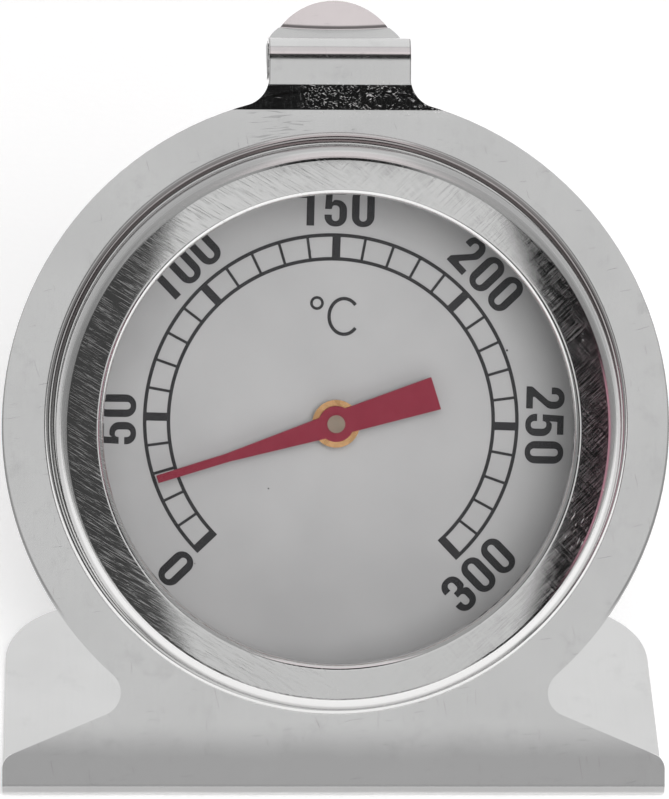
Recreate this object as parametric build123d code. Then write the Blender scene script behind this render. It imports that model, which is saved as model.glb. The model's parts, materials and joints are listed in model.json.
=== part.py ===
from build123d import *
import math
import os

# Oven thermometer: a dial capsule in a sheet-steel face plate that stands on its folded base
# or hangs by the hook at its top. Millimetres.
#
# Row frame: origin at the middle of the footprint, +Z up, the dial faces -Y.
# Face frame: X right, Y up along the face plate, Z out of the dial towards the reader,
# origin at the centre of the plate's disc, on its front surface.

# Face plate, base and hook, one piece of sheet
LEAN = 30.0                 # lean of the face plate from the vertical, degrees
SHEET = 0.5
DISC_R = 30.0
FOOT_HALF_WIDTH = 29.9
FOOT_TOP = -26.0            # where the foot's sloping shoulder meets the notch
FOOT_SLOPE = 22.9           # fall of the foot's shoulder, degrees
NOTCH_R = 2.2
SHOULDER_R = 1.4
FOLD_R = 1.0                # outer radius of the fold between plate and base
FOLD_HEIGHT = -32.3         # fold axis, below the disc's centre
BASE_DEPTH = 29.0
BASE_CORNER_R = 8.5

HOOK_X = 0.2
HOOK_WIDTH = 12.7
HOOK_NECK_FILLET = 2.6
SHEET_SPLIT = 26.8          # the strip's flat root joins the panel here
JOGGLE_START = 28.3
JOGGLE_END = 30.75
JOGGLE_DEPTH = 0.45
HOOK_TOP = 34.85
HOOK_GAP = 6.0              # room for the rack wire, front to back
HOOK_VALLEY = 31.0          # lowest line of the rear leg
HOOK_FLARE = 31.0           # rise of the flared tail above the plate's normal, degrees
HOOK_CREASE = 35.5
HOOK_TIP = 37.98
HOOK_LIP_LEAN = 22.0           # the upturned lip leans back this far, degrees
HOOK_LIP_BOW = 0.22            # how far it bulges forward at its middle
HOOK_BEND_R = 1.75          # all hook bends, on the middle of the sheet
VALLEY_BEND_R = 0.9

# Dial capsule
CASE_Y = 0.3                # the capsule sits a little high in the disc
CUP_SHEET = 0.35
CUP_BENDS = [0.25, 0.3, 0.3, 1.2]                 # radii from the flange to the back
CUP_FLANGE_R = 25.5
CUP_FRONT_R = 23.9
CUP_REAR_R = 22.375
CUP_LEDGE_Z = -1.4
CUP_BACK_Z = -8.8
PLATE_HOLE_R = 24.0
VENT_R = 1.25
VENT_RING_R = 16.0
VENT_COUNT = 12

RETAINER_R = 25.6
RETAINER_THICKNESS = 0.5

BEZEL_SHEET = 0.35
BEZEL_BENDS = [0.3, 0.22, 0.15, 0.2, 1.2, 0.35]   # radii from the bead's edge to the window
BEAD_R = 26.2
BEAD_HEIGHT = 1.15
BEAD_INNER_R = 25.45        # middle of the sheet where the bead comes back down
BEZEL_WALL_R = 25.15
BEZEL_SHOULDER_Z = 6.9      # where wall and cone would meet, on the middle of the sheet
WINDOW_R = 20.9
WINDOW_EDGE_Z = 7.33

GLASS_R = 24.4
GLASS_BACK_Z = 4.3
GLASS_THICKNESS = 1.6
GASKET_THICKNESS = 0.3
SPACER_OUTER_R = 23.4
SPACER_INNER_R = 23.0

# Dial and movement
DIAL_R = 23.3
DIAL_Z = -1.0               # front of the dial
DIAL_THICKNESS = 0.4
SPINDLE_R = 0.8
RUNNING_CLEARANCE = 0.06
SPINDLE_FRONT_Z = 0.35
SPINDLE_SHOULDER_Z = -6.55
SPINDLE_REAR_Z = -7.9
JOURNAL_R = 0.5

POINTER_Z = -0.1            # back of the pointer
POINTER_THICKNESS = 0.3
POINTER_ANGLE = 197.4       # direction at rest, anticlockwise from the right
POINTER_LENGTH = 16.8
POINTER_TAIL = 9.4
POINTER_TIP_WIDTH = 0.7
POINTER_SLIM_AT = 10.2       # from here to the tip the needle hardly tapers
POINTER_SLIM_WIDTH = 0.76
POINTER_MIDDLE_WIDTH = 2.1
POINTER_TAIL_WIDTH = 3.02
POINTER_BOSS_R = 1.61

HUB_R = 2.15
HUB_THICKNESS = 0.35
BUSH_FLANGE_R = 1.9
BUSH_BARREL_R = 1.5
BUSH_FLANGE_THICKNESS = 0.25
BUSH_REAR_Z = -2.6
CLIP_Z = -3.2
CLIP_THICKNESS = 0.3
CLIP_R = 1.5
COLLAR_R = 1.7
COLLAR_BACK_Z = -6.3
COLLAR_FRONT_Z = -3.7

COIL_STRIP = 0.3
COIL_BACK_Z = -6.3
COIL_FRONT_Z = -3.8
COIL_INNER_R = 1.9          # middle of the strip, round the collar
COIL_OUTER_R = 9.0
COIL_TURNS = 6
COIL_TAIL = 2.6

POST_X = 15.75
POST_Y = 6.47
POST_R = 0.9
POST_SPIGOT_R = 0.5
POST_HEAD_R = 0.8
BRIDGE_FRONT_Z = -7.1
BRIDGE_THICKNESS = 0.6
BRIDGE_ARM_WIDTH = 3.6
BRIDGE_BOSS_R = 3.2
REAR_BEARING_R = 1.3
REAR_BEARING_FRONT_Z = -6.85
REAR_BEARING_BACK_Z = -8.0
ANCHOR_THICKNESS = 0.8
ANCHOR_WIDTH = 2.2
ANCHOR_FRONT_Z = -3.7
RIVET_R = 0.35
RIVET_HEAD_R = 0.6
RIVET_HEAD = 0.2

# Worked out from the driving dimensions
COS_LEAN = math.cos(math.radians(LEAN))
SIN_LEAN = math.sin(math.radians(LEAN))
FOLD_AXIS_Y = FOLD_R - BASE_DEPTH / 2
FACE_ORIGIN = (
    0,
    FOLD_AXIS_Y - FOLD_HEIGHT * SIN_LEAN - FOLD_R * COS_LEAN,
    FOLD_R - FOLD_HEIGHT * COS_LEAN + FOLD_R * SIN_LEAN,
)
FACE = Plane(origin=FACE_ORIGIN, x_dir=(1, 0, 0), z_dir=(0, -COS_LEAN, SIN_LEAN))
COIL_PITCH = (COIL_OUTER_R - COIL_INNER_R) / COIL_TURNS
ARM_ANGLE = math.degrees(math.atan2(POST_Y, POST_X))
ANCHOR_Y = COIL_TAIL / 2
COIL_ANGLE = ARM_ANGLE - math.degrees(math.atan2(ANCHOR_Y, COIL_OUTER_R + ANCHOR_THICKNESS / 2))


def disc(radius, back, front, x=0.0, y=0.0):
    """Round slab about the capsule's axis or a place beside it, from height back to front."""
    return Pos(x, CASE_Y + y, (back + front) / 2) * Cylinder(radius, front - back)


def ring(outer, inner, back, front):
    return disc(outer, back, front) - disc(inner, back - 1, front + 1)


def spun_sheet(points, radii, thickness):
    """Sheet turned about the capsule's axis; points are (radius, height) on its middle."""
    section = trace(FilletPolyline(*points, radius=radii), line_width=thickness)
    return Pos(0, CASE_Y, 0) * Rot(90, 0, 0) * revolve(section, Axis.Y)


def plate_outline():
    """Front view of the disc and the foot, down to the fold."""
    slope = math.tan(math.radians(FOOT_SLOPE))
    shoulder_inner = DISC_R / 2
    shoulder_x = 20.5
    side_y = FOOT_TOP - (FOOT_HALF_WIDTH - shoulder_x) * slope
    inner_y = FOOT_TOP + (shoulder_x - shoulder_inner) * slope
    foot = make_face(Polyline(
        (-FOOT_HALF_WIDTH, FOLD_HEIGHT),
        (FOOT_HALF_WIDTH, FOLD_HEIGHT),
        (FOOT_HALF_WIDTH, side_y),
        (shoulder_inner, inner_y),
        (-shoulder_inner, inner_y),
        (-FOOT_HALF_WIDTH, side_y),
        close=True,
    ))
    outline = Circle(DISC_R) + foot
    shoulders = [v for v in outline.vertices() if abs(v.Y - side_y) < 0.01]
    outline = fillet(shoulders, SHOULDER_R)
    notches = [v for v in outline.vertices() if FOOT_TOP < v.Y < FOOT_TOP + 3]
    return fillet(notches, NOTCH_R)


def hook_outline():
    """Front view of the top of the disc and the strip that grows out of it."""
    strip = Pos(HOOK_X, DISC_R) * Rectangle(HOOK_WIDTH, 4 * HOOK_WIDTH)
    outline = Circle(DISC_R) + strip
    roots = [v for v in outline.vertices() if 28 < v.Y < DISC_R]
    outline = fillet(roots, HOOK_NECK_FILLET)
    return outline & Pos(0, SHEET_SPLIT + 2 * HOOK_WIDTH) * Rectangle(4 * HOOK_WIDTH, 4 * HOOK_WIDTH)


def hook_path():
    """Middle line of the hook's strip, as (height, out of the plate) corners."""
    middle = -SHEET / 2
    front = middle - JOGGLE_DEPTH
    top = HOOK_TOP - SHEET / 2
    rear = front - HOOK_GAP - SHEET
    turn = math.radians(90 + HOOK_FLARE) / 2
    valley = HOOK_VALLEY + SHEET / 2 + VALLEY_BEND_R - VALLEY_BEND_R * math.tan(turn)
    tail = rear - (HOOK_CREASE - valley) / math.tan(math.radians(HOOK_FLARE))
    spare = 2 * SHEET
    spare_out = spare / math.tan(math.radians(HOOK_FLARE))
    corners = [
        (SHEET_SPLIT, middle),
        (JOGGLE_START, middle),
        (JOGGLE_END, front),
        (top, front),
        (top, rear),
        (valley, rear),
        (HOOK_CREASE + spare, tail - spare_out),
    ]
    radii = [1.5, 1.5, HOOK_BEND_R, HOOK_BEND_R, VALLEY_BEND_R]
    return corners, radii, tail


def hook_lip(tail):
    """Upturned end of the tail, leaning back and a little bowed, and the block behind it."""
    end_r = HOOK_WIDTH / 2
    chord = math.sqrt(end_r ** 2 - (end_r - HOOK_TIP + HOOK_CREASE) ** 2)
    length = (HOOK_TIP - HOOK_CREASE) / math.cos(math.radians(HOOK_LIP_LEAN))
    bow_r = chord ** 2 / (2 * HOOK_LIP_BOW)
    round_r = (chord ** 2 + length ** 2) / (2 * length)
    lip_frame = Pos(HOOK_X, HOOK_CREASE, tail) * Rot(-HOOK_LIP_LEAN, 0, 0)
    upright = lip_frame * Pos(0, 0, SHEET / 2 + HOOK_LIP_BOW - bow_r) * Rot(90, 0, 0)
    behind = upright * Cylinder(bow_r, 4 * end_r)
    lip = behind - upright * Cylinder(bow_r - SHEET, 5 * end_r)
    lip &= lip_frame * Pos(0, length - round_r, 0) * Cylinder(round_r, 4 * SHEET)
    flare_face = Pos(HOOK_X, HOOK_CREASE, tail) * Rot(-90 + HOOK_FLARE, 0, 0)
    below = flare_face * Pos(0, 0, -2 * end_r - SHEET / 2) * Box(8 * end_r, 8 * end_r, 4 * end_r)
    return lip - below, behind


def hook_strip():
    """The bent strip above the disc, with the round end of its flared tail."""
    corners, radii, tail = hook_path()
    section = trace(FilletPolyline(*corners, radius=radii), line_width=SHEET)
    strip = Plane.YZ.location * extrude(section, amount=2 * HOOK_WIDTH, both=True)
    strip &= extrude(hook_outline(), amount=2 * HOOK_WIDTH, both=True)

    end_r = HOOK_WIDTH / 2
    blank = 4 * end_r
    crease = Pos(HOOK_X, HOOK_CREASE, tail) * Rot(-90 + HOOK_FLARE, 0, 0)
    flare_length = end_r - (HOOK_TIP - HOOK_CREASE)
    flare_tool = crease * Pos(0, (blank - flare_length) / 2 - flare_length / 2, 0) * Box(blank, blank, 2)
    flare_round = crease * Pos(0, -flare_length, 0) * Cylinder(end_r, 6)
    lip, behind = hook_lip(tail)
    return strip - (flare_tool - flare_round) - behind + lip


def stand_plate():
    """Face plate, fold, base and hook, cut and bent from one sheet."""
    below_hook = Pos(0, SHEET_SPLIT - 2 * DISC_R) * Rectangle(4 * DISC_R, 4 * DISC_R)
    panel = extrude(plate_outline() & below_hook, amount=-SHEET)

    fold = Rot(0, 90, 0) * Cylinder(FOLD_R, 2 * FOOT_HALF_WIDTH)
    fold -= Rot(0, 90, 0) * Cylinder(FOLD_R - SHEET, 4 * FOOT_HALF_WIDTH)
    behind = 4 * FOLD_R
    above_plate_end = Pos(0, behind / 2, 0) * Box(100, behind, behind * 2)
    fold -= above_plate_end
    fold = Pos(0, FOLD_HEIGHT, -FOLD_R) * fold

    base_flat = BASE_DEPTH - FOLD_R
    base = Pos(0, FOLD_AXIS_Y + base_flat / 2, SHEET / 2) * Box(2 * FOOT_HALF_WIDTH, base_flat, SHEET)
    rear_corners = base.edges().filter_by(Axis.Z).group_by(Axis.Y)[-1]
    base = fillet(rear_corners, BASE_CORNER_R)

    folded = FACE.location * fold
    under_base = Pos(0, FOLD_AXIS_Y + behind / 2, FOLD_R) * Box(100, behind, behind)
    folded -= under_base

    upright = FACE.location * (panel + hook_strip() - disc(PLATE_HOLE_R, -2, 1))
    return upright + folded + base


def case_cup():
    """Deep-drawn cup: front flange, ledge under the dial, vented back."""
    half = CUP_SHEET / 2
    wall = CUP_FRONT_R - half
    rear_wall = CUP_REAR_R - half
    near_axis = 0.02            # the section stops short of the axis and a disc closes it
    centre_r = 0.5
    points = [
        (CUP_FLANGE_R, half),
        (wall, half),
        (wall, CUP_LEDGE_Z - half),
        (rear_wall, CUP_LEDGE_Z - half),
        (rear_wall, CUP_BACK_Z + half),
        (near_axis, CUP_BACK_Z + half),
    ]
    cup = spun_sheet(points, CUP_BENDS, CUP_SHEET)
    cup += disc(centre_r, CUP_BACK_Z, CUP_BACK_Z + CUP_SHEET)
    for i in range(VENT_COUNT):
        turn = math.radians(i * 360 / VENT_COUNT)
        x = VENT_RING_R * math.sin(turn)
        y = VENT_RING_R * math.cos(turn)
        cup -= disc(VENT_R, CUP_BACK_Z - 1, CUP_BACK_Z + 1, x, y)
    return cup


def case_retaining_ring():
    """Push-on ring that holds the cup against the back of the face plate."""
    return ring(RETAINER_R, CUP_FRONT_R, -SHEET - RETAINER_THICKNESS, -SHEET)


def bezel_ring():
    """Spun front ring: bead over the cup's flange, wall, shallow cone and rolled window edge."""
    half = BEZEL_SHEET / 2
    bead = BEAD_R - half
    bead_top = BEAD_HEIGHT - half
    groove = CUP_SHEET + half
    wall = BEZEL_WALL_R - half
    window = WINDOW_R + half
    lip = GLASS_BACK_Z + GLASS_THICKNESS + GASKET_THICKNESS
    points = [
        (bead, 0),
        (bead, bead_top),
        (BEAD_INNER_R, bead_top),
        (BEAD_INNER_R, groove),
        (wall, groove),
        (wall, BEZEL_SHOULDER_Z),
        (window, WINDOW_EDGE_Z),
        (window, lip),
    ]
    return spun_sheet(points, BEZEL_BENDS, BEZEL_SHEET)


def lens_glass():
    return disc(GLASS_R, GLASS_BACK_Z, GLASS_BACK_Z + GLASS_THICKNESS)


def lens_gasket():
    back = GLASS_BACK_Z + GLASS_THICKNESS
    return ring(GLASS_R, WINDOW_R + 0.1, back, back + GASKET_THICKNESS)


def dial_spacer_ring():
    """Sleeve that holds the dial down on the cup's ledge, under the glass."""
    return ring(SPACER_OUTER_R, SPACER_INNER_R, DIAL_Z, GLASS_BACK_Z)


def dial_plate():
    return ring(DIAL_R, BUSH_BARREL_R, DIAL_Z - DIAL_THICKNESS, DIAL_Z)


def dial_bushing():
    """Front bearing: flange on the dial, barrel through it, swaged over behind."""
    bush = disc(BUSH_FLANGE_R, DIAL_Z, DIAL_Z + BUSH_FLANGE_THICKNESS)
    bush += disc(BUSH_BARREL_R, BUSH_REAR_Z, DIAL_Z)
    dial_back = DIAL_Z - DIAL_THICKNESS
    bush += disc(BUSH_FLANGE_R, dial_back - BUSH_FLANGE_THICKNESS, dial_back)
    return bush - disc(SPINDLE_R + RUNNING_CLEARANCE, BUSH_REAR_Z - 1, 0)


def pointer():
    """Flat needle: slim blunt tip, round middle, wider counterweight tail."""
    blade = make_face(Polyline(
        (POINTER_LENGTH, POINTER_TIP_WIDTH / 2),
        (POINTER_SLIM_AT, POINTER_SLIM_WIDTH / 2),
        (0, POINTER_MIDDLE_WIDTH / 2),
        (-POINTER_TAIL, POINTER_TAIL_WIDTH / 2),
        (-POINTER_TAIL, -POINTER_TAIL_WIDTH / 2),
        (0, -POINTER_MIDDLE_WIDTH / 2),
        (POINTER_SLIM_AT, -POINTER_SLIM_WIDTH / 2),
        (POINTER_LENGTH, -POINTER_TIP_WIDTH / 2),
        close=True,
    ))
    outline = blade + Circle(POINTER_BOSS_R) - Circle(SPINDLE_R)
    needle = extrude(outline, amount=POINTER_THICKNESS)
    return Pos(0, CASE_Y, POINTER_Z) * Rot(0, 0, POINTER_ANGLE) * needle


def pointer_hub():
    return ring(HUB_R, SPINDLE_R, POINTER_Z - HUB_THICKNESS, POINTER_Z)


def pointer_spindle():
    shaft = disc(SPINDLE_R, SPINDLE_SHOULDER_Z, SPINDLE_FRONT_Z)
    return shaft + disc(JOURNAL_R, SPINDLE_REAR_Z, SPINDLE_SHOULDER_Z)


def spindle_clip():
    """Open washer that stops the spindle from sliding forwards."""
    clip = ring(CLIP_R, SPINDLE_R, CLIP_Z, CLIP_Z + CLIP_THICKNESS)
    mouth = Pos(0, CASE_Y + CLIP_R, CLIP_Z) * Box(2 * JOURNAL_R, 2 * CLIP_R, 2)
    return clip - mouth


def coil_collar():
    return ring(COLLAR_R, SPINDLE_R, COLLAR_BACK_Z, COLLAR_FRONT_Z)


def coil_frame():
    """Location of the coil's own frame, with its outer end on +X."""
    return Pos(0, CASE_Y, 0) * Rot(0, 0, COIL_ANGLE)


def bimetal_coil():
    """Flat spiral of half turns about two centres, with a straight outer tail."""
    half_turns = []
    for i in range(2 * COIL_TURNS):
        lower = i % 2
        centre = (lower * COIL_PITCH / 2, 0)
        half_turns.append(CenterArc(centre, COIL_INNER_R + i * COIL_PITCH / 2, 180 * lower, 180))
    tail = Line((COIL_OUTER_R, 0), (COIL_OUTER_R, COIL_TAIL))
    strip = trace(half_turns + [tail], line_width=COIL_STRIP)
    coil = extrude(strip, amount=COIL_FRONT_Z - COIL_BACK_Z)
    coil = coil_frame() * Pos(0, 0, COIL_BACK_Z) * coil
    return coil - rivet_shank()


def rivet_axis():
    """Location of the rivet that joins the coil's tail to the anchor, its axis along the radius."""
    middle = (COIL_FRONT_Z + COIL_BACK_Z) / 2
    return coil_frame() * Pos(COIL_OUTER_R, ANCHOR_Y, middle) * Rot(0, 90, 0)


def rivet_shank():
    length = COIL_STRIP + ANCHOR_THICKNESS
    return rivet_axis() * Pos(0, 0, ANCHOR_THICKNESS / 2) * Cylinder(RIVET_R, length)


def coil_rivet():
    inner = Pos(0, 0, -(COIL_STRIP + RIVET_HEAD) / 2) * Cylinder(RIVET_HEAD_R, RIVET_HEAD)
    outer_height = COIL_STRIP / 2 + ANCHOR_THICKNESS + RIVET_HEAD / 2
    outer = Pos(0, 0, outer_height) * Cylinder(RIVET_HEAD_R, RIVET_HEAD)
    return rivet_shank() + rivet_axis() * inner + rivet_axis() * outer


def coil_anchor():
    """Upright tab on the bridge that holds the coil's outer end."""
    height = ANCHOR_FRONT_Z - BRIDGE_FRONT_Z
    x = COIL_OUTER_R + COIL_STRIP / 2 + ANCHOR_THICKNESS / 2
    tab = Pos(x, ANCHOR_Y, BRIDGE_FRONT_Z + height / 2) * Box(ANCHOR_THICKNESS, ANCHOR_WIDTH, height)
    return coil_frame() * tab - rivet_shank()


def post_places():
    return [Pos(side * POST_X, POST_Y, 0) for side in (-1, 1)]


def movement_bridge():
    """Two-armed bridge behind the coil that carries the rear bearing."""
    arm_length = math.hypot(POST_X, POST_Y)
    back = BRIDGE_FRONT_Z - BRIDGE_THICKNESS
    bridge = disc(BRIDGE_BOSS_R, back, BRIDGE_FRONT_Z)
    for turn in (ARM_ANGLE, 180 - ARM_ANGLE):
        arm = Pos(arm_length / 2, 0, 0) * SlotCenterToCenter(arm_length, BRIDGE_ARM_WIDTH)
        slot = Rot(0, 0, turn) * arm
        bridge += Pos(0, CASE_Y, back) * extrude(slot, amount=BRIDGE_THICKNESS)
    bridge -= disc(REAR_BEARING_R, back - 1, BRIDGE_FRONT_Z + 1)
    for place in post_places():
        bridge -= place * disc(POST_SPIGOT_R, back - 1, BRIDGE_FRONT_Z + 1)
    return bridge


def bridge_posts():
    """Two posts behind the dial, riveted over at the back of the bridge."""
    dial_back = DIAL_Z - DIAL_THICKNESS
    bridge_back = BRIDGE_FRONT_Z - BRIDGE_THICKNESS
    post = disc(POST_R, BRIDGE_FRONT_Z, dial_back)
    post += disc(POST_SPIGOT_R, bridge_back, BRIDGE_FRONT_Z)
    post += disc(POST_HEAD_R, bridge_back - RIVET_HEAD, bridge_back)
    return Compound([place * post for place in post_places()])


def rear_bearing():
    bearing = disc(REAR_BEARING_R, REAR_BEARING_BACK_Z, REAR_BEARING_FRONT_Z)
    bore = disc(JOURNAL_R + RUNNING_CLEARANCE, REAR_BEARING_BACK_Z - 1, REAR_BEARING_FRONT_Z + 1)
    return bearing - bore


CAPSULE_PARTS = {
    "bezel_ring": bezel_ring,
    "lens_glass": lens_glass,
    "lens_gasket": lens_gasket,
    "dial_spacer_ring": dial_spacer_ring,
    "dial_plate": dial_plate,
    "dial_bushing": dial_bushing,
    "pointer": pointer,
    "pointer_hub": pointer_hub,
    "pointer_spindle": pointer_spindle,
    "spindle_clip": spindle_clip,
    "coil_collar": coil_collar,
    "bimetal_coil": bimetal_coil,
    "coil_rivet": coil_rivet,
    "coil_anchor": coil_anchor,
    "movement_bridge": movement_bridge,
    "bridge_posts": bridge_posts,
    "rear_bearing": rear_bearing,
    "case_cup": case_cup,
    "case_retaining_ring": case_retaining_ring,
}

os.makedirs("parts", exist_ok=True)
export_step(stand_plate(), "parts/stand_plate.step")
for name, build in CAPSULE_PARTS.items():
    export_step(FACE.location * build(), f"parts/{name}.step")
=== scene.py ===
"""Looks for a stand-and-hang oven thermometer with a dished stainless case.

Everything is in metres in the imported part's frame. The face frame used below has X to the
reader's right, Y up the leaning plate and Z towards the reader, in millimetres from the
pointer's axis, with Z measured from the plate's front.
"""
import json
import math

import bpy
from mathutils import Matrix, Vector
from mathutils.geometry import tessellate_polygon


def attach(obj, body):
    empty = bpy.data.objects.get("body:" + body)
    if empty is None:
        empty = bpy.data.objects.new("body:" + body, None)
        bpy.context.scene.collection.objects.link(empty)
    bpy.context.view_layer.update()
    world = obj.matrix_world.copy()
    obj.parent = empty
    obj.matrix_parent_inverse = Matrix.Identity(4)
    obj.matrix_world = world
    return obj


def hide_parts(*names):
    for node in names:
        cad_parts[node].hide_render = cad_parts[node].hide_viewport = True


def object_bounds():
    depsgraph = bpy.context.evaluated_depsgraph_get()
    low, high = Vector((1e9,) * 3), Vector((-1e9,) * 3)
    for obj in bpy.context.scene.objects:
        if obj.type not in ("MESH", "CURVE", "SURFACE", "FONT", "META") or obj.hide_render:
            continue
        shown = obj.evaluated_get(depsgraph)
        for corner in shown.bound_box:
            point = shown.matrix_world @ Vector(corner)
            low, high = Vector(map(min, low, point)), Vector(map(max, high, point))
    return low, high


MM = 0.001
CASE_BODY = "case_and_stand"

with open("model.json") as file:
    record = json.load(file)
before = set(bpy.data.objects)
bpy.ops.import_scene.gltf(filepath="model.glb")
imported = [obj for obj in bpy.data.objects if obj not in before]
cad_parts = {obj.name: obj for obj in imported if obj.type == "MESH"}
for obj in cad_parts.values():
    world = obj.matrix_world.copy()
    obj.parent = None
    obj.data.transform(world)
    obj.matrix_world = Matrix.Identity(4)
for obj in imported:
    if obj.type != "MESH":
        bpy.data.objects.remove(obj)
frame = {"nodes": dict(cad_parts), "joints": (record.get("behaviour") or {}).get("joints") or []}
cad_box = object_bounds()
NODES = frame["nodes"]
HINGE = frame["joints"][0]


# The face frame, taken from the pointer's hinge ---------------------------------------------

FACE_OUT = -Vector(HINGE["axis"]).normalized()
FACE_RIGHT = Vector((1, 0, 0))
FACE_UP = FACE_OUT.cross(FACE_RIGHT)
FACE_ORIGIN = Vector(HINGE["pos_m"])


def face_rotation():
    """The face frame's turn, with its axes as columns."""
    return Matrix((FACE_RIGHT, FACE_UP, FACE_OUT)).transposed()


def face_matrix():
    """Takes face millimetres to row metres."""
    return Matrix.Translation(FACE_ORIGIN) @ face_rotation().to_4x4() @ Matrix.Scale(MM, 4)


def height_of(node):
    """How far a node reaches towards the reader, in face millimetres."""
    return max((v.co - FACE_ORIGIN).dot(FACE_OUT) / MM for v in NODES[node].data.vertices)


# Shader building ----------------------------------------------------------------------------

GENERATED, OBJECT, BACKFACING = 0, 3, 6    # outputs of the coordinate and geometry nodes


class Graph:
    """Makes nodes in one tree and joins them by socket name."""

    def __init__(self, tree):
        self.tree = tree

    def add(self, kind, inputs=None, out=0, **settings):
        node = self.tree.nodes.new("ShaderNode" + kind)
        for name, value in settings.items():
            setattr(node, name, value)
        for name, value in (inputs or {}).items():
            socket = node.inputs[name]
            if isinstance(value, bpy.types.NodeSocket):
                self.tree.links.new(value, socket)
            else:
                socket.default_value = value
        return node.outputs[out]

    def math(self, operation, *values, clamp=False):
        inputs = dict(enumerate(values))
        return self.add("Math", inputs, operation=operation, use_clamp=clamp)

    def times(self, first, *others):
        """Several numbers multiplied together."""
        for other in others:
            first = self.math("MULTIPLY", first, other)
        return first

    def window(self, value, low, full, fall, end):
        """1 between full and fall, and 0 outside low and end."""
        return self.times(self.ramp(value, low, full), self.ramp(value, fall, end, 1.0, 0.0))

    def ramp(self, value, low, high, to_low=0.0, to_high=1.0):
        """A smooth step between two values."""
        inputs = {"Value": value, "From Min": low, "From Max": high,
                  "To Min": to_low, "To Max": to_high}
        return self.add("MapRange", inputs, interpolation_type="SMOOTHSTEP")

    def total(self, *terms):
        """The sum of (number, weight) terms, kept between 0 and 1."""
        result = 0.0
        for value, weight in terms:
            result = self.math("MULTIPLY_ADD", value, weight, result, clamp=True)
        return result

    def noise(self, vector, scale, detail=3.0, rough=0.55):
        inputs = {"Vector": vector, "Scale": scale, "Detail": detail, "Roughness": rough}
        return self.add("TexNoise", inputs)

    def mix(self, factor, first, second):
        """Mixes two numbers."""
        node = self.tree.nodes.new("ShaderNodeMix")
        for index, value in ((0, factor), (2, first), (3, second)):
            if isinstance(value, bpy.types.NodeSocket):
                self.tree.links.new(value, node.inputs[index])
            else:
                node.inputs[index].default_value = value
        return node.outputs[0]

    def colours(self, factor, first, second):
        """Mixes two colours."""
        node = self.tree.nodes.new("ShaderNodeMix")
        node.data_type = "RGBA"
        for index, value in ((0, factor), (6, first), (7, second)):
            if isinstance(value, bpy.types.NodeSocket):
                self.tree.links.new(value, node.inputs[index])
            else:
                if index and len(value) == 3:
                    value = (*value, 1.0)
                node.inputs[index].default_value = value
        return node.outputs[2]

    def moved(self, vector, location=(0, 0, 0), rotation=(0, 0, 0), scale=(1, 1, 1)):
        inputs = {"Vector": vector, "Location": location, "Rotation": rotation, "Scale": scale}
        return self.add("Mapping", inputs)


def blank_material(name):
    """A material with only its Principled shader and its output."""
    material = bpy.data.materials.new(name)
    material.use_nodes = True
    material.node_tree.nodes.clear()
    graph = Graph(material.node_tree)
    shader = material.node_tree.nodes.new("ShaderNodeBsdfPrincipled")
    output = material.node_tree.nodes.new("ShaderNodeOutputMaterial")
    material.node_tree.links.new(shader.outputs[0], output.inputs["Surface"])
    return material, graph, shader


def face_coords(graph):
    """Face millimetres at the shaded point, at rest."""
    place = graph.add("TexCoord", out=OBJECT)
    turn = face_rotation().transposed()
    shift = -(turn @ FACE_ORIGIN) / MM
    return graph.moved(place, shift, turn.to_euler(), (1 / MM, 1 / MM, 1 / MM))


def streaks(graph, coords, angle, along, across, detail=3.0):
    """Noise drawn out along one direction of the face, like brush marks."""
    turned = graph.moved(coords, rotation=(0, 0, -math.radians(angle)))
    drawn = graph.moved(turned, scale=(1 / along, 1 / across, 1 / along))
    return graph.noise(drawn, 1.0, detail, 0.6)


def parts_of(graph, vector):
    return graph.add("SeparateXYZ", {"Vector": vector}).node.outputs


def spun_coords(graph, coords):
    """(radius, a small share of the angle, height), for marks that run round an axis."""
    x, y, z = parts_of(graph, coords)
    radius = graph.math("SQRT", graph.math("ADD", graph.times(x, x), graph.times(y, y)))
    angle = graph.math("MULTIPLY", graph.math("ABSOLUTE", graph.math("ARCTAN2", y, x)), 0.6)
    return graph.add("CombineXYZ", {"X": radius, "Y": angle, "Z": z})


def scratches(graph, coords, angle, length, width, rarity):
    """Sparse fine scratches near one direction, as a 0 to 1 mask."""
    bend = graph.add("TexNoise", {"Vector": coords, "Scale": 0.25, "Detail": 1.0}, out=1)
    bent = graph.add("VectorMath", {0: coords, 1: bend}, operation="ADD")
    marks = streaks(graph, bent, angle, length, width, 1.0)
    return graph.ramp(marks, rarity, rarity + 0.05)


def near_point(graph, axes, point, reach):
    """1 around a point of the face, falling to 0 at the reach."""
    away = [graph.math("POWER", graph.math("SUBTRACT", axis, place), 2.0)
            for axis, place in zip(axes, point)]
    distance = graph.math("SQRT", graph.math("ADD", *away))
    return graph.ramp(distance, reach * 0.6, reach, 1.0, 0.0)


def join(graph, shader, **sockets):
    names = {"colour": "Base Color", "metal": "Metallic", "rough": "Roughness", "normal": "Normal"}
    for key, value in sockets.items():
        graph.tree.links.new(value, shader.inputs[names[key]])


def bump(graph, height, depth):
    """Relief of so many millimetres."""
    return graph.add("Bump", {"Height": height, "Distance": depth * MM, "Strength": 1.0})


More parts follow.
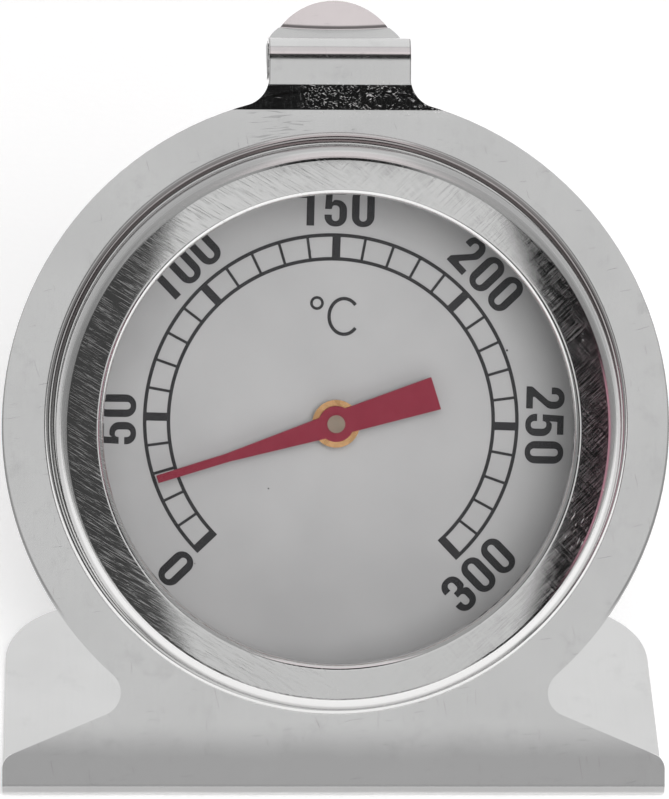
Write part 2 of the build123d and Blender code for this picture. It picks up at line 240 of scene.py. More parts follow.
def sheet_steel(name, colour, dark, rough, angle):
    """Satin sheet or bar: rolled grain one way, smudges, and a few scratches."""
    material, graph, shader = blank_material(name)
    shader.inputs["Metallic"].default_value = 1.0
    coords = face_coords(graph)
    fine = streaks(graph, coords, angle, 9.0, 0.09)
    broad = graph.noise(coords, 0.09, 4.0)
    smudge = graph.noise(coords, 0.35, 5.0, 0.65)
    lines = graph.math("MAXIMUM", scratches(graph, coords, 12, 2.2, 0.05, 0.66),
                       scratches(graph, coords, 104, 3.5, 0.05, 0.66))
    tone = graph.total((graph.ramp(broad, 0.3, 0.7), 0.5), (graph.ramp(fine, 0.25, 0.75), 0.25),
                       (lines, 0.3))
    value = graph.ramp(smudge, 0.35, 0.75, rough - 0.025, rough + 0.045)
    value = graph.math("ADD", value, graph.times(lines, 0.10))
    relief = graph.math("SUBTRACT", fine, graph.times(lines, 0.5))
    join(graph, shader, colour=graph.colours(tone, colour, dark), rough=value,
         normal=bump(graph, relief, 0.006))
    return material


# Where the stand's sheet changes, in face millimetres, from plain to full
STEP_BAND = (27.2, 28.0, 30.3, 31.0)   # the hook's step
SCUFF_START = (-3.6, -2.2)             # left of this the step has few scuffs
DENT_AT, DENT_REACH = (-5.2, 27.2), 3.4
FOOT_SHADE = (-26.8, -30.6)
FRONT_FACE = (-0.6, -0.2)
DISC_EDGE = (29.78, 29.95, 30.02, 30.1)
DISC_END = (-18.0, -15.0)              # the disc's edge runs into the foot below this
STRIP_X = 0.2                          # middle of the hook's strip
STRIP_EDGE = (6.20, 6.32)              # its half width
STRIP_ROOT = (30.2, 31.0)
STRIP_REAR = (-7.8, -7.4)
# where painted shade darkens the hook's flared tail
TAIL_ABOVE, TAIL_BEHIND = (20.0, 21.0), (-8.0, -9.0)
CREASE_Y, CREASE_Z = 35.2, -15.423     # where the hook's lip turns up from its tail
TAIL_RISE = math.radians(31.0)
HALF_SHEET = 0.25
CREASE_LINE = (0.03, 0.06, 0.16, 0.30) # height over the tail of the painted shadow line in the crease
CREASE_FLOOR = (34.6, 34.8)


def step_scuffs(graph, coords, x, step):
    """Short bright scuffs over the hook's step, in patches."""
    scuffs = graph.math("MAXIMUM", scratches(graph, coords, 35, 0.5, 0.05, 0.682),
                        scratches(graph, coords, -40, 0.5, 0.05, 0.682))
    scuffs = graph.math("MAXIMUM", scuffs, scratches(graph, coords, -8, 0.5, 0.045, 0.695))
    patches = graph.ramp(graph.noise(coords, 1.3, 2.0), 0.34, 0.56)
    return graph.times(scuffs, step, patches, graph.ramp(x, *SCUFF_START, 0.12, 1.0))


def over_tail(graph, y, z):
    """Height over the top face of the hook's flared tail."""
    up = graph.times(graph.math("SUBTRACT", y, CREASE_Y), math.cos(TAIL_RISE))
    out = graph.times(graph.math("SUBTRACT", z, CREASE_Z), math.sin(TAIL_RISE))
    return graph.math("SUBTRACT", graph.math("ADD", up, out), HALF_SHEET)


def dark_edges(graph, axes, front, above):
    """Painted shade along the rolled cut edge of the disc and the strip, and a painted shadow line
    in the crease under the hook's lip.
    """
    x, y, z = axes
    squares = graph.math("ADD", graph.times(x, x), graph.times(y, y))
    disc = graph.window(graph.math("SQRT", squares), *DISC_EDGE)
    disc = graph.times(disc, front, graph.ramp(y, *DISC_END))
    off_middle = graph.math("ABSOLUTE", graph.math("SUBTRACT", x, STRIP_X))
    strip = graph.times(graph.ramp(off_middle, *STRIP_EDGE), graph.ramp(y, *STRIP_ROOT),
                        graph.ramp(z, *STRIP_REAR))
    crease = graph.times(graph.window(above, *CREASE_LINE), graph.ramp(y, *CREASE_FLOOR))
    rim = graph.math("MAXIMUM", disc, strip)
    return graph.math("MAXIMUM", graph.times(rim, 0.55), graph.times(crease, 0.85))


def stand_steel():
    """The stand's sheet: even satin, scuffed at the hook's step, with painted shade darkening the
    foot, the flared tail, the cut edges and the crease under the hook's lip.
    """
    material, graph, shader = blank_material("stand_steel")
    coords = face_coords(graph)
    axes = parts_of(graph, coords)
    x, y, z = axes
    fine = streaks(graph, coords, 90, 7.0, 0.06)
    broad = graph.ramp(graph.noise(coords, 0.10, 3.0), 0.35, 0.7)
    smudge = graph.ramp(graph.noise(coords, 0.30, 5.0, 0.65), 0.52, 0.8)
    step = graph.window(y, *STEP_BAND)
    scuffs = step_scuffs(graph, coords, x, step)
    hairs = graph.math("MAXIMUM", scratches(graph, coords, 8, 3.0, 0.05, 0.755),
                       scratches(graph, coords, 101, 4.0, 0.05, 0.76))
    dents = graph.times(scratches(graph, coords, 4, 2.5, 0.22, 0.56),
                        near_point(graph, (x, y), DENT_AT, DENT_REACH))
    above = over_tail(graph, y, z)
    front = graph.ramp(z, *FRONT_FACE)
    # painted shade: the front face is darkened towards the foot
    painted_foot_shade = graph.times(graph.ramp(y, *FOOT_SHADE), front)
    # painted shade over the hook's flared tail
    painted_tail_shade = graph.times(graph.ramp(z, *TAIL_BEHIND), graph.ramp(y, *TAIL_ABOVE),
                       graph.ramp(above, 0.0, 0.05, 1.0, 0.0))
    tone = graph.total((broad, 0.12), (fine, 0.16), (smudge, 0.18), (dents, 0.55), (painted_foot_shade, 0.9),
                       (painted_tail_shade, 0.45))
    rough = graph.total((smudge, 0.05), (scuffs, 0.5), (hairs, 0.12))
    rough = graph.math("ADD", rough, graph.mix(step, 0.14, 0.07))
    relief = graph.math("SUBTRACT", fine, graph.times(graph.math("MAXIMUM", scuffs, hairs), 0.6))
    colour = graph.colours(tone, (0.75, 0.75, 0.748), (0.47, 0.47, 0.47))
    # painted shade: the cut edges and the crease darkened nearly to black
    colour = graph.colours(dark_edges(graph, axes, front, above), colour, (0.06, 0.06, 0.06))
    colour = graph.colours(scuffs, colour, (0.90, 0.90, 0.90))
    join(graph, shader, colour=colour, metal=graph.mix(scuffs, 1.0, 0.1), rough=rough,
         normal=bump(graph, relief, 0.003))
    return material


def turned_metal(name, colour, dark, rough, grain=0.004, tarnish=0.5):
    """Turned or spun metal: fine rings round the pointer's axis, with some tarnish."""
    material, graph, shader = blank_material(name)
    shader.inputs["Metallic"].default_value = 1.0
    coords = face_coords(graph)
    rings = graph.noise(graph.moved(spun_coords(graph, coords), scale=(9, 1, 9)), 1.0, 3.0)
    stain = graph.ramp(graph.noise(coords, 0.8, 5.0, 0.6), 0.35, 0.7)
    tone = graph.total((stain, tarnish), (rings, 0.2))
    value = graph.math("ADD", graph.times(stain, 0.12), rough)
    join(graph, shader, colour=graph.colours(tone, colour, dark), rough=value,
         normal=bump(graph, rings, grain))
    return material


# Heights over the plate where the bezel changes, in millimetres, from one finish or painted
# reflection to the next
WALL_BAND = (0.8, 1.3, 5.4, 6.3)
SHOULDER_BAND = (5.4, 6.4)
SHOULDER_END = (6.65, 6.90)
CONE_START = (7.10, 7.19)
WALL_REFLECTION_FROM = (-4.0, 14.0)            # the wall carries a painted dark, pinkish reflection above this line of the face
BRUSH_CHANGE = (-6.0, 6.0)             # brushed one way to the left, both ways to the right
NICK_AT, NICK_REACH = (22.2, -9.0), 2.6


def bezel_steel():
    """The bezel: straight brushing over the cone, spun lines on its wall and bead, and painted
    dark reflections on the shoulder's turn and the upper wall.
    """
    material, graph, shader = blank_material("bezel_steel")
    shader.inputs["Metallic"].default_value = 1.0
    coords = face_coords(graph)
    x, y, z = parts_of(graph, coords)
    right = graph.ramp(x, *BRUSH_CHANGE)
    cone = graph.ramp(z, *CONE_START)
    shoulder = graph.ramp(z, *SHOULDER_BAND)
    left_brush = streaks(graph, coords, -31, 2.2, 0.05, 3.0)
    right_brush = graph.total((streaks(graph, coords, 43, 2.5, 0.045, 3.0), 0.6),
                              (streaks(graph, coords, -48, 2.5, 0.05, 3.0), 0.4))
    rings = graph.noise(graph.moved(spun_coords(graph, coords), scale=(7, 1, 7)), 1.0, 2.0)
    relief = graph.mix(cone, graph.times(rings, 0.12), graph.mix(right, left_brush, right_brush))
    nicks = graph.times(scratches(graph, coords, 68, 1.1, 0.12, 0.67),
                        near_point(graph, (x, y), NICK_AT, NICK_REACH))
    nicks = graph.math("MAXIMUM", nicks, scratches(graph, coords, -30, 0.8, 0.10, 0.77))
    marks = graph.mix(right, graph.times(graph.ramp(left_brush, 0.51, 0.68), 0.36),
                      graph.times(graph.ramp(right_brush, 0.49, 0.60), 0.19))
    rough = graph.mix(cone, graph.mix(shoulder, 0.13, 0.25),
                      graph.math("ADD", graph.times(marks, cone), 0.04))
    rough = graph.math("ADD", rough, graph.times(nicks, 0.35))
    tone = graph.times(graph.ramp(relief, 0.3, 0.75), 0.3)
    colour = graph.colours(tone, (0.78, 0.78, 0.775), (0.64, 0.64, 0.64))
    # painted dark reflection where the shoulder turns down towards the wall
    painted_shoulder_reflection = graph.times(graph.ramp(z, *SHOULDER_END, 0.5, 0.0), shoulder)
    colour = graph.colours(painted_shoulder_reflection, colour, (0.30, 0.30, 0.30))
    # painted dark, pinkish reflection on the upper part of the wall
    painted_wall_reflection = graph.times(graph.window(z, *WALL_BAND), graph.ramp(y, *WALL_REFLECTION_FROM))
    colour = graph.colours(painted_wall_reflection, colour, (0.40, 0.365, 0.365))
    join(graph, shader, colour=colour, rough=rough, normal=bump(graph, relief, 0.0016))
    return material


def dial_paint():
    """Matt grey face with the faint grain of sprayed lacquer."""
    material, graph, shader = blank_material("dial_paint")
    coords = face_coords(graph)
    grain = graph.noise(coords, 9.0, 2.0)
    cloud = graph.noise(coords, 0.12, 3.0)
    tone = graph.ramp(graph.total((grain, 0.35), (cloud, 0.65)), 0.3, 0.7)
    colour = graph.colours(tone, (0.388, 0.388, 0.390), (0.432, 0.432, 0.432))
    rough = graph.ramp(grain, 0.3, 0.7, 0.45, 0.58)
    join(graph, shader, colour=colour, rough=rough, normal=bump(graph, grain, 0.003))
    return material


def print_ink():
    """Black pad-printed ink, very slightly uneven."""
    material, graph, shader = blank_material("print_ink")
    coords = face_coords(graph)
    fleck = graph.noise(coords, 6.0, 4.0, 0.7)
    tone = graph.ramp(fleck, 0.45, 0.8)
    colour = graph.colours(tone, (0.022, 0.022, 0.024), (0.05, 0.05, 0.052))
    rough = graph.ramp(fleck, 0.3, 0.7, 0.42, 0.6)
    join(graph, shader, colour=colour, rough=rough, normal=bump(graph, fleck, 0.004))
    return material


def pointer_paint():
    """Dark red lacquer with dust under it."""
    material, graph, shader = blank_material("pointer_paint")
    coords = face_coords(graph)
    peel = graph.noise(coords, 2.2, 3.0)
    dust = graph.ramp(graph.noise(coords, 14.0, 2.0), 0.62, 0.72)
    tone = graph.total((graph.ramp(peel, 0.3, 0.7), 0.6), (dust, 0.4))
    colour = graph.colours(tone, (0.188, 0.011, 0.028), (0.230, 0.028, 0.048))
    join(graph, shader, colour=colour, rough=graph.ramp(peel, 0.3, 0.7, 0.34, 0.48),
         normal=bump(graph, peel, 0.006))
    return material


def clear_glass():
    """The lens: clear, with its gloss by Fresnel and a little haze of finger grease."""
    material = bpy.data.materials.new("clear_glass")
    material.use_nodes = True
    material.node_tree.nodes.clear()
    graph = Graph(material.node_tree)
    coords = face_coords(graph)
    haze = graph.noise(coords, 0.4, 4.0)
    grease = graph.ramp(haze, 0.4, 0.7, 0.01, 0.06)
    gloss = graph.add("BsdfGlossy", {"Color": (1, 1, 1, 1), "Roughness": grease})
    clear = graph.add("BsdfTransparent", {"Color": (0.99, 0.99, 0.99, 1)})
    entering = graph.math("SUBTRACT", 1.0, graph.add("NewGeometry", out=BACKFACING))
    facing = graph.math("MULTIPLY", graph.add("Fresnel", {"IOR": 1.2}), entering)
    both = graph.add("MixShader", {0: facing, 1: clear, 2: gloss})
    output = graph.tree.nodes.new("ShaderNodeOutputMaterial")
    graph.tree.links.new(both, output.inputs["Surface"])
    return material


def seal_rubber():
    """Dark heat-proof seal."""
    material, graph, shader = blank_material("seal_rubber")
    coords = face_coords(graph)
    grain = graph.noise(coords, 5.0, 4.0)
    colour = graph.colours(graph.ramp(grain, 0.3, 0.7), (0.02, 0.019, 0.019), (0.045, 0.042, 0.04))
    join(graph, shader, colour=colour, rough=graph.ramp(grain, 0.3, 0.7, 0.55, 0.75),
         normal=bump(graph, grain, 0.02))
    return material


def dress_nodes():
    """Gives every CAD node its finish."""
    brass, brass_dark = (0.88, 0.52, 0.26), (0.62, 0.36, 0.15)
    ring_light, bridge_light = (0.62, 0.62, 0.61), (0.62, 0.62, 0.62)
    half, pale, tan = (0.5, 0.5, 0.5), (0.70, 0.70, 0.69), (0.62, 0.52, 0.42)
    finishes = {
        "stand_plate": stand_steel(),
        "lens_glass": clear_glass(),
        "lens_gasket": seal_rubber(),
        "dial_spacer_ring": turned_metal("spacer_aluminium", bridge_light, half, 0.3),
        "dial_plate": dial_paint(),
        "dial_bushing": turned_metal("bushing_brass", brass, brass_dark, 0.25),
        "pointer": pointer_paint(),
        "pointer_hub": turned_metal("hub_brass", brass, brass_dark, 0.22),
        "pointer_spindle": turned_metal("spindle_steel", tan, (0.46, 0.38, 0.30), 0.4),
        "spindle_clip": sheet_steel("clip_steel", half, (0.35, 0.35, 0.36), 0.3, 40),
        "coil_collar": turned_metal("collar_brass", brass, brass_dark, 0.28),
        "bimetal_coil": turned_metal("bimetal", (0.55, 0.48, 0.38), (0.38, 0.34, 0.3), 0.35, 0.01),
        "coil_rivet": sheet_steel("rivet_aluminium", (0.66, 0.66, 0.66), half, 0.32, 0),
        "coil_anchor": sheet_steel("anchor_steel", (0.6, 0.6, 0.6), (0.45, 0.45, 0.45), 0.3, 90),
        "movement_bridge": sheet_steel("bridge_steel", bridge_light, (0.48, 0.48, 0.48), 0.3, 0),
        "bridge_posts": sheet_steel("post_brass", brass, brass_dark, 0.28, 0),
        "rear_bearing": turned_metal("bearing_brass", brass, brass_dark, 0.28),
        "case_cup": turned_metal("case_steel", pale, (0.58, 0.58, 0.58), 0.24, 0.008, 0.6),
        "case_retaining_ring": turned_metal("ring_steel", ring_light, half, 0.3, 0.006),
    }
    for node, material in finishes.items():
        NODES[node].data.materials.clear()
        NODES[node].data.materials.append(material)


# Outlines -----------------------------------------------------------------------------------

def rounded(corners, steps=7):
    """A closed outline from (x, y, radius) corners, each corner turned into an arc."""
    outline = []
    count = len(corners)
    for i, (x, y, radius) in enumerate(corners):
        corner = Vector((x, y))
        before = (Vector(corners[i - 1][:2]) - corner).normalized()
        after = (Vector(corners[(i + 1) % count][:2]) - corner).normalized()
        outline.extend(corner_arc(corner, before, after, radius, steps))
    return outline


def corner_arc(corner, before, after, radius, steps):
    """Points of the arc that rounds one corner, or the corner itself."""
    if radius == 0:
        return [corner]
    half = before.angle(after) / 2
    middle = corner + (before + after).normalized() * (radius / math.sin(half))
    start = corner + before * (radius / math.tan(half)) - middle
    finish = corner + after * (radius / math.tan(half)) - middle
    sweep = start.angle_signed(finish)
    return [middle + Matrix.Rotation(-sweep * i / steps, 2) @ start for i in range(steps + 1)]


def filled(*loops):
    """Vertices and triangles of a flat shape with holes."""
    loops = [[Vector((p[0], p[1], 0)) for p in loop] for loop in loops]
    vertices = [(p.x, p.y) for loop in loops for p in loop]
    faces = []
    for face in tessellate_polygon(loops):
        a, b, c = (Vector(vertices[i]) for i in face)
        turn = (b - a).cross(c - a)
        if abs(turn) > 1e-9:
            faces.append(tuple(face) if turn > 0 else tuple(reversed(face)))
    return vertices, faces


# The dial's print ---------------------------------------------------------------------------

PRINT_X, PRINT_Y = -0.43, 0.18 # middle of the print, off the pointer's axis
INK = 0.02                     # thickness
DIAL_FRONT = height_of("dial_plate")
SCALE_INNER = 14.46
SCALE_OUTER = 16.92
ARC_WIDTH = 0.32
MAJOR_TICK = 0.74
MINOR_TICK = 0.25
ZERO_AT = 223.72               # direction of the 0 mark
DEGREES_PER_STEP = -9.01
STEPS = 30
MAJOR_EVERY = 5
NUMERAL_R = 19.27              # middle of the numerals
CELL = 2.46                    # from one digit to the next
DIGIT_WIDTH = 2.04
DIGIT_MIDDLE = 1.71            # half its height
UNIT_STROKE = 0.31
DEGREE_RING = (-1.32, 10.64, 0.62)     # x, y and radius
LETTER_AT = (1.12, 9.44)
LETTER_HALF_WIDTH = 1.5
LETTER_HALF_HEIGHT = 1.76
LETTER_OPENING = 40.0          # degrees above and below its middle
SPECKS = [(15.82, 6.43, 0.10), (-5.6, -6.1, 0.07), (-1.9, 15.3, 0.05), (-12.2, -12.9, 0.05)]

# Heavy condensed digits, 3.4 mm tall in a 2 mm wide cell, as (x, y, corner radius) outlines.
DIGITS = {
    "0": ([(0, -0.04, 0.96), (2.04, -0.04, 0.96), (2.04, 3.46, 0.96), (0, 3.46, 0.96)],
          [(0.68, 0.46, 0.335), (0.68, 2.96, 0.335), (1.36, 2.96, 0.335), (1.36, 0.46, 0.335)]),
    "1": ([(0.86, 0, 0), (1.55, 0, 0), (1.55, 3.42, 0), (1.04, 3.42, 0), (0.96, 3.0, 0.25),
           (0.10, 2.93, 0), (0.10, 2.47, 0), (0.86, 2.47, 0)],),
    "2": ([(0.06, 2.28, 0), (0.68, 2.28, 0), (0.68, 2.94, 0.32), (1.34, 2.94, 0.32),
           (1.34, 2.10, 0.7), (0, 0.52, 0.3), (0, 0, 0), (2.00, 0, 0), (2.00, 0.60, 0),
           (0.82, 0.60, 0.1), (2.00, 2.02, 0.8), (2.00, 3.46, 0.9), (0.06, 3.46, 0.9)],),
    "3": ([(0.02, 2.42, 0), (0.66, 2.42, 0), (0.66, 2.96, 0.31), (1.31, 2.96, 0.31),
           (1.31, 2.04, 0.30), (0.70, 2.04, 0), (0.70, 1.50, 0), (1.36, 1.50, 0.32),
           (1.36, 0.46, 0.33), (0.66, 0.46, 0.33), (0.66, 1.06, 0), (0, 1.06, 0),
           (0, -0.04, 0.92), (2.04, -0.04, 0.92), (2.04, 1.72, 0.42), (1.62, 1.79, 0.02),
           (1.96, 1.90, 0.42), (1.96, 3.46, 0.88), (0.02, 3.46, 0.88)],),
    "5": ([(0.04, 1.52, 0), (0.64, 1.52, 0), (0.74, 1.86, 0.2), (1.34, 1.86, 0.34),
           (1.34, 0.46, 0.33), (0.66, 0.46, 0.33), (0.66, 1.02, 0), (0, 1.02, 0),
           (0, -0.04, 0.92), (2.02, -0.04, 0.95), (2.02, 2.36, 0.9), (0.86, 2.36, 0.25),
           (0.66, 2.14, 0), (0.71, 2.84, 0), (1.86, 2.84, 0), (1.86, 3.42, 0), (0.14, 3.42, 0)],),
}

# (degrees Celsius, turn of the number's middle from its tick, upside down)
NUMERALS = [(0, 0.1, False), (50, 1.0, False), (100, 0.1, False), (150, 0.4, False),
            (200, 0.1, False), (250, 0.6, False), (300, 0.6, True)]


def tick_angle(step):
    return ZERO_AT + DEGREES_PER_STEP * step


def solid_patch(vertices, faces, thickness):
    """Gives a flat patch its thickness, as mesh data."""
    count = len(vertices)
    points = [(x, y, 0.0) for x, y in vertices] + [(x, y, thickness) for x, y in vertices]
    top = [tuple(i + count for i in face) for face in faces]
    bottom = [tuple(reversed(face)) for face in faces]
    edges = {(a, b) for face in faces for a, b in zip(face, face[1:] + face[:1])}
    rim = [(a, b, b + count, a + count) for a, b in sorted(edges) if (b, a) not in edges]
    return points, top + bottom + rim


def ink_object(name, vertices, faces, material):
    """A printed patch of ink on the dial, from a flat outline in millimetres."""
    points, solid = solid_patch(vertices, faces, INK)
    mesh = bpy.data.meshes.new(name)
    mesh.from_pydata(points, [], solid)
    mesh.materials.append(material)
    place = Matrix.Translation((PRINT_X, PRINT_Y, DIAL_FRONT))
    mesh.transform(face_matrix() @ place)
    mesh.update()
    thing = bpy.data.objects.new(name, mesh)
    bpy.context.scene.collection.objects.link(thing)
    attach(thing, CASE_BODY)


class Patch:
    """Flat pieces gathered into one outline mesh."""

    def __init__(self):
        self.vertices, self.faces = [], []

    def put(self, vertices, faces, shift=(0.0, 0.0)):
        start = len(self.vertices)
        self.vertices.extend((x + shift[0], y + shift[1]) for x, y in vertices)
        self.faces.extend(tuple(i + start for i in face) for face in faces)


def arc_band(inner, outer, start, end, steps):
    """Vertices and faces of a flat arc, with angles in degrees from start down to end."""
    vertices = []
    for i in range(steps + 1):
        angle = math.radians(start + (end - start) * i / steps)
        for radius in (inner, outer):
            vertices.append((radius * math.cos(angle), radius * math.sin(angle)))
    faces = [(2 * i, 2 * i + 2, 2 * i + 3, 2 * i + 1) for i in range(steps)]
    return vertices, [tuple(reversed(face)) for face in faces] if end > start else faces


def scale_ring(material):
    """The ring of the scale: two arcs and a tick at each ten degrees."""
    patch = Patch()
    bands = ((SCALE_INNER, SCALE_INNER + ARC_WIDTH), (SCALE_OUTER - ARC_WIDTH, SCALE_OUTER))
    for inner, outer in bands:
        past_end = math.degrees(MAJOR_TICK / 2 / outer)
        start, end = tick_angle(0) + past_end, tick_angle(STEPS) - past_end
        patch.put(*arc_band(inner, outer, start, end, 300))
    for step in range(STEPS + 1):
        width = MINOR_TICK if step % MAJOR_EVERY else MAJOR_TICK
        angle = math.radians(tick_angle(step))
        out = Vector((math.cos(angle), math.sin(angle)))
        side = Vector((-out.y, out.x)) * (width / 2)
        low = out * (SCALE_INNER + ARC_WIDTH)
        high = out * (SCALE_OUTER - ARC_WIDTH)
        corners = [tuple(p) for p in (low + side, low - side, high - side, high + side)]
        patch.put(corners, [(0, 1, 2, 3)])
    ink_object("print_scale", patch.vertices, patch.faces, material)


def numeral(degrees, shift, flipped, material):
    """One number of the scale, set square to its tick."""
    patch = Patch()
    text = str(degrees)
    for place, digit in enumerate(text):
        across = (place - len(text) / 2) * CELL + (CELL - DIGIT_WIDTH) / 2
        outlines = [rounded(loop) for loop in DIGITS[digit]]
        patch.put(*filled(*outlines), shift=(across, -DIGIT_MIDDLE))
    angle = math.radians(tick_angle(degrees / 10) + shift)
    middle = Vector((NUMERAL_R * math.cos(angle), NUMERAL_R * math.sin(angle)))
    spin = Matrix.Rotation(angle - math.pi / 2 + (math.pi if flipped else 0), 2)
    points = [tuple(spin @ Vector(p) + middle) for p in patch.vertices]
    ink_object("print_" + text, points, patch.faces, material)


def unit_mark(material):
    """The degree ring and the light letter that name the unit."""
    x, y, radius = DEGREE_RING
    patch = Patch()
    patch.put(*arc_band(radius - UNIT_STROKE * 0.8, radius, 360, 0, 48), shift=(x, y))
    inner = LETTER_HALF_WIDTH - UNIT_STROKE
    vertices, faces = arc_band(inner, LETTER_HALF_WIDTH, 360 - LETTER_OPENING, LETTER_OPENING, 64)
    taller = LETTER_HALF_HEIGHT - LETTER_HALF_WIDTH
    stretched = []
    for x, y in vertices:
        radius = math.hypot(x, y)
        stretched.append((x, y * (radius + taller) / radius))
    patch.put(stretched, faces, shift=LETTER_AT)
    ink_object("print_unit", patch.vertices, patch.faces, material)


def print_flecks(material):
    """Stray specks of ink on the face."""
    patch = Patch()
    for x, y, radius in SPECKS:
        patch.put(*arc_band(0.01, radius, 360, 0, 16), shift=(x, y))
    ink_object("print_flecks", patch.vertices, patch.faces, material)


def print_dial():
    ink = print_ink()
    scale_ring(ink)
    for degrees, shift, flipped in NUMERALS:
        numeral(degrees, shift, flipped, ink)
    unit_mark(ink)
    print_flecks(ink)


# The bezel ----------------------------------------------------------------------------------

BEZEL_SHEET = 0.35
# (radius, height over the plate) of the sheet's middle line, from the bead to the window edge
BEZEL_LINE = [(26.025, 0.0), (26.025, 0.975), (25.45, 0.975), (25.45, 0.525), (24.975, 0.525),
              (24.97, 6.885), (22.7, 7.157), (21.075, 7.318), (21.075, 6.2)]
BEZEL_BENDS = [0.3, 0.22, 0.15, 0.2, 1.2, 95.0, 0.35]
SPIN_STEPS = 360
BEND_STEPS = 10
SUPPORT = 0.02                 # how close an extra point stands to the end of a straight run
SAME_POINT = 1e-4
SHARP_TURN = math.radians(50)


def with_supports(line):
    """Adds a point close to each end of every long straight run, so that it shades flat."""
    supported = [line[0]]
    for start, finish in zip(line, line[1:]):
        run = finish - start
        if run.length > 8 * SUPPORT:
            step = run.normalized() * SUPPORT
            supported.extend([start + step, finish - step])
        supported.append(finish)
    return supported


def sheet_section(points, bends, thickness):
    """Closed section of a bent sheet, as (radius, height) points round its middle line."""
    line = [Vector(points[0])]
    for i, bend in enumerate(bends):
        corner = Vector(points[i + 1])
        before = (Vector(points[i]) - corner).normalized()
        after = (Vector(points[i + 2]) - corner).normalized()
        line.extend(corner_arc(corner, before, after, bend, BEND_STEPS))
    line.append(Vector(points[-1]))
    apart = [p for last, p in zip(line, line[1:]) if (p - last).length > SAME_POINT]
    line = with_supports(line[:1] + apart)
    front, back = [], []
    for i, point in enumerate(line):
        along = (line[min(i + 1, len(line) - 1)] - line[max(i - 1, 0)]).normalized()
        side = Vector((-along.y, along.x)) * (thickness / 2)
        front.append(point + side)
        back.append(point - side)
    return front + back[::-1]


def spun_piece(name, section, material):
    """A section turned round the case's axis."""
    count = len(section)
    vertices = []
    for step in range(SPIN_STEPS):
        angle = 2 * math.pi * step / SPIN_STEPS
        vertices.extend((p.x * math.cos(angle), p.x * math.sin(angle), p.y) for p in section)
    faces = []
    for step in range(SPIN_STEPS):
        here, after = step * count, (step + 1) % SPIN_STEPS * count
        for i in range(count):
            j = (i + 1) % count
            faces.append((here + i, here + j, after + j, after + i))
    mesh = bpy.data.meshes.new(name)
    mesh.from_pydata(vertices, [], faces)
    mesh.transform(face_matrix())
    mesh.materials.append(material)
    mesh.shade_smooth()
    mesh.set_sharp_from_angle(angle=SHARP_TURN)
    thing = bpy.data.objects.new(name, mesh)
    bpy.context.scene.collection.objects.link(thing)
    return thing


def spun_bezel():
    """A finely spun ring in the bezel's place, for clean reflections."""
    section = sheet_section(BEZEL_LINE, BEZEL_BENDS, BEZEL_SHEET)
    ring = spun_piece("bezel_spun", section, bezel_steel())
    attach(ring, CASE_BODY)
    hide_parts("bezel_ring")


# Studio -------------------------------------------------------------------------------------

AZIMUTH = -2.72                # the camera's place, in degrees
ELEVATION = 34.35
ROLL = 1.69
DISTANCE = 0.5356              # metres from the middle of the disc
LENS = 268.65
SENSOR = 36.0
DISC_BELOW_HINGE = 0.3         # the disc's middle, in millimetres under the pointer's axis
AIM_UP, AIM_LEFT = 2.497, 0.149        # millimetres from the disc's middle

FLOOR_HALF = 2.5
FLOOR_GAP = 0.0001
LIGHT_SIZE = 0.6
LIGHTS = [("key", (0.26, -0.75, 0.58), 5.0), ("fill", (-0.06, -0.60, 0.88), 3.0)]


def place_camera():
    """The camera, looking down at the face from a little to the left."""
    azimuth, elevation, roll = (math.radians(a) for a in (AZIMUTH, ELEVATION, ROLL))
    back = Vector((math.sin(azimuth) * math.cos(elevation),
                   -math.cos(azimuth) * math.cos(elevation), math.sin(elevation)))
    right = Vector((0, 0, 1)).cross(back).normalized()
    up = back.cross(right)
    turned_right = right * math.cos(roll) + up * math.sin(roll)
    turned_up = up * math.cos(roll) - right * math.sin(roll)
    middle = FACE_ORIGIN - FACE_UP * (DISC_BELOW_HINGE * MM)
    place = middle + back * DISTANCE
    aim = middle + turned_up * (AIM_UP * MM) - turned_right * (AIM_LEFT * MM)
    look = (place - aim).normalized()
    turned_right = (turned_right - look * turned_right.dot(look)).normalized()
    turned_up = look.cross(turned_right)
    data = bpy.data.cameras.new("camera")
    data.lens = LENS
    data.sensor_width = SENSOR
    data.clip_start, data.clip_end = 0.01, 20.0
    camera = bpy.data.objects.new("camera", data)
    bpy.context.scene.collection.objects.link(camera)
    turn = Matrix((turned_right, turned_up, look)).transposed()
    camera.matrix_world = Matrix.Translation(place) @ turn.to_4x4()
    bpy.context.scene.camera = camera


def grey(level):
    return (level, level, level)


# The room round the object, later ones over earlier ones: (colour, degrees to the side,
# degrees up from the front, softness of the edges, slanted)
CARDS = [
    ((0.80, 0.755, 0.765), (-12, 17), (66, 108), 1.5, False),   # ceiling over the hook
    ((0.95, 0.87, 0.88), (-12, 17), (64, 78), 1.5, False),
    (grey(0.90), (-12, 17), (108, 200), 1.5, False),            # and on behind the object
    (grey(0.45), (-12, 17), (106, 109), 1.0, False),            # its seam
    (grey(0.27), (-95, -33), (-20, 75), 3.0, False),            # far left
    (grey(0.29), (34, 95), (-20, 75), 3.0, False),              # far right
    (grey(0.06), (-33, 0), (-8, 43), 1.0, False),               # dark, left of the panel
    (grey(0.012), (0, 34), (-8, 43), 1.0, False),               # dark, right of the panel
    (grey(0.010), (-4, 9), (42, 66), 1.0, False),               # dark, over the panel
    ((0.50, 0.25, 0.31), (20.2, 33), (12, 31), 1.0, False),     # something pink on the right
    (grey(0.745), (-7.5, 13.1), (2, 42.5), 0.4, True),          # the panel
    (grey(0.675), (-6.6, 12.2), (2, 17), 2.0, True),            # its duller foot
]
SLANT_FROM = 25.0
SLANT = 0.04


def card_mask(graph, across, pitch, sides, heights, soft):
    """1 inside a rectangle of directions, with soft edges."""
    (left, right), (low, high) = sides, heights
    wide = graph.window(across, left - soft, left + soft, right - soft, right + soft)
    return graph.times(wide, graph.window(pitch, low - soft, low + soft, high - soft, high + soft))


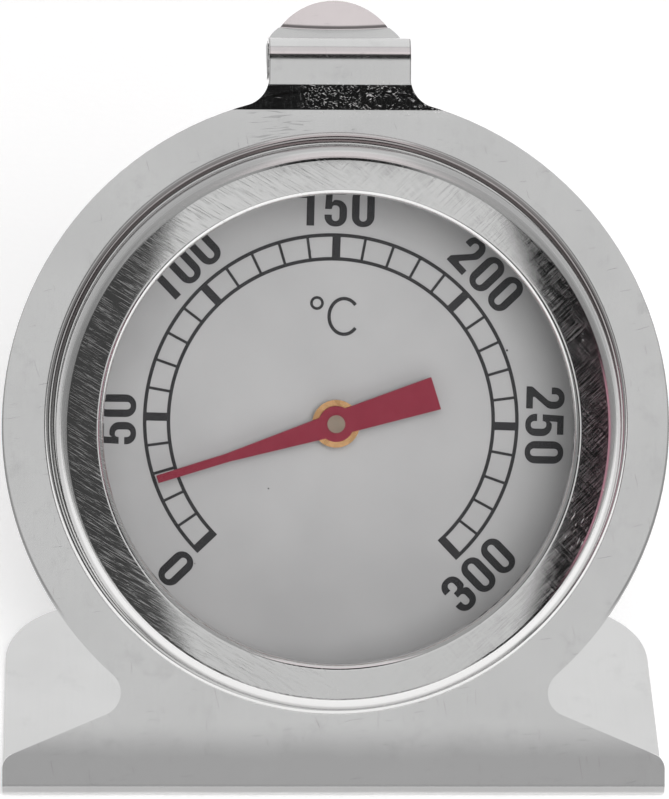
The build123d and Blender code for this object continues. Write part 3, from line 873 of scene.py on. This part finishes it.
def studio_world():
    """A pale room with a tall soft panel behind the camera and dark cards beside it."""
    world = bpy.data.worlds.new("studio")
    bpy.context.scene.world = world
    world.use_nodes = True
    world.node_tree.nodes.clear()
    graph = Graph(world.node_tree)
    x, y, z = parts_of(graph, graph.add("TexCoord", out=GENERATED))
    side = graph.times(graph.math("ARCSINE", x), 180 / math.pi)
    pitch = graph.times(graph.math("ARCTAN2", z, graph.times(y, -1.0)), 180 / math.pi)
    slant = graph.times(graph.math("SUBTRACT", pitch, SLANT_FROM), SLANT)
    slanted = graph.math("ADD", side, slant)
    room = graph.colours(graph.ramp(pitch, 104, 132), grey(0.40), grey(0.72))
    for colour, sides, heights, soft, slants in CARDS:
        across = slanted if slants else side
        room = graph.colours(card_mask(graph, across, pitch, sides, heights, soft), room, colour)
    camera_ray = graph.add("LightPath", out=0)
    room = graph.colours(camera_ray, room, grey(1.0))
    shade = graph.add("Background", {"Color": room, "Strength": 1.0})
    output = graph.tree.nodes.new("ShaderNodeOutputWorld")
    graph.tree.links.new(shade, output.inputs["Surface"])


def area_light(name, place, aim, power):
    data = bpy.data.lights.new(name, "AREA")
    data.shape = "DISK"
    data.size = LIGHT_SIZE
    data.energy = power
    light = bpy.data.objects.new(name, data)
    bpy.context.scene.collection.objects.link(light)
    light.location = place
    light.rotation_euler = (Vector(aim) - Vector(place)).to_track_quat("-Z", "Y").to_euler()
    light.visible_glossy = False


def pale_floor():
    """A pale matt table top."""
    mesh = bpy.data.meshes.new("floor")
    signs = [(-1, -1), (1, -1), (1, 1), (-1, 1)]
    corners = [(FLOOR_HALF * x, FLOOR_HALF * y, 0) for x, y in signs]
    mesh.from_pydata(corners, [], [(0, 1, 2, 3)])
    material, graph, shader = blank_material("floor_paper")
    coords = graph.add("TexCoord", out=OBJECT)
    grain = graph.noise(coords, 900.0, 3.0)
    colour = graph.colours(grain, (0.93, 0.93, 0.93), (0.96, 0.96, 0.96))
    shader.inputs["Roughness"].default_value = 0.75
    join(graph, shader, colour=colour, normal=bump(graph, grain, 0.05))
    shader.inputs["Emission Color"].default_value = (1, 1, 1, 1)
    shader.inputs["Emission Strength"].default_value = 0.19
    mesh.materials.append(material)
    floor = bpy.data.objects.new("floor", mesh)
    bpy.context.scene.collection.objects.link(floor)
    floor.location.z = cad_box[0].z - FLOOR_GAP


def light_studio():
    studio_world()
    middle = (cad_box[0] + cad_box[1]) / 2
    for name, place, power in LIGHTS:
        area_light(name, place, middle, power)
    bpy.context.scene.view_settings.view_transform = "Standard"


dress_nodes()
spun_bezel()
print_dial()
place_camera()
pale_floor()
light_studio()
